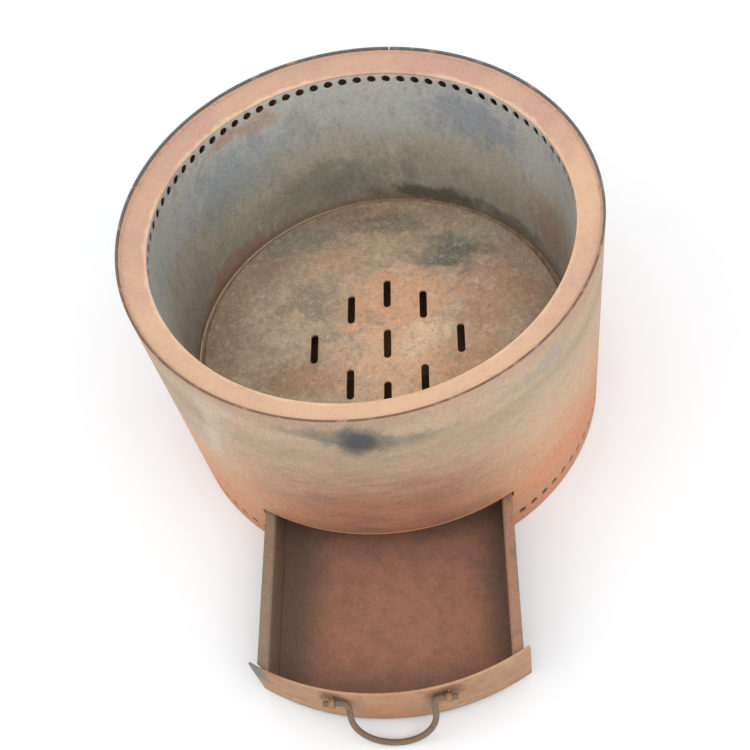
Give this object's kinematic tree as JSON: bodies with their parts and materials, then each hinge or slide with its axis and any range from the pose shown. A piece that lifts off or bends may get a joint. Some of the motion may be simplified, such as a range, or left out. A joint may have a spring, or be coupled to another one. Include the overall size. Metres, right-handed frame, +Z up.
{
  "type": "fire pit with ash drawer",
  "caption": "Round double-walled steel fire pit with dished rim ring, lift-out slotted fire plate and pull-out ash drawer with a bail handle.",
  "frame": {"origin": "centre of the drum on the underside of the base plate, on the ground", "axes": "+Z up; the ash drawer pulls out towards -Y; +X is on the right of a person who faces the drawer's front"},
  "size_m": [0.6, 0.8473, 0.37],
  "materials": {
    "shell_steel": "rusted sheet, satin",
    "chamber_steel": "heat-blued mill scale, satin",
    "ring_steel": "light surface rust, satin",
    "plate_steel": "rust and ash stain, matte",
    "drawer_steel": "dark rust, matte",
    "front_steel": "rusted sheet, satin",
    "bar_steel": "worn mill scale, satin",
    "weld_steel": "rusted weld, rough",
    "hidden_steel": "rusted sheet, matte"
  },
  "bodies": {
    "drum": {"outer_shell": "shell_steel", "shell_seam": "weld_steel", "rim_ring": "ring_steel", "rim_weld": "weld_steel", "inner_wall": "chamber_steel", "wall_weld": "weld_steel", "base_plate": "hidden_steel", "base_tacks": "weld_steel", "plate_ledge": "hidden_steel", "runner_left": "hidden_steel", "runner_right": "hidden_steel"},
    "plate": {"fire_plate": "plate_steel"},
    "drawer": {"drawer_tray": "drawer_steel", "drawer_back": "drawer_steel", "drawer_front": "front_steel", "front_weld_left": "weld_steel", "front_weld_right": "weld_steel", "knuckle_left": "bar_steel", "knuckle_right": "bar_steel", "knuckle_weld_left": "weld_steel", "knuckle_weld_right": "weld_steel"},
    "bail": {"bail_handle": "bar_steel"}
  },
  "joints": [
    {"name": "drawer_slide", "type": "slide", "parent": "drum", "child": "drawer", "axis": [0, -1, 0], "range_m": [-0.211, 0.19]},
    {"name": "plate_lift", "type": "slide", "parent": "drum", "child": "plate", "axis": [0, 0, 1], "range_m": [0, 0.262]},
    {"name": "bail_swing", "type": "hinge", "parent": "drawer", "child": "bail", "pos_m": [0, -0.5142, 0.08], "axis": [-1, 0, 0], "range_deg": [0, 150]}
  ]
}
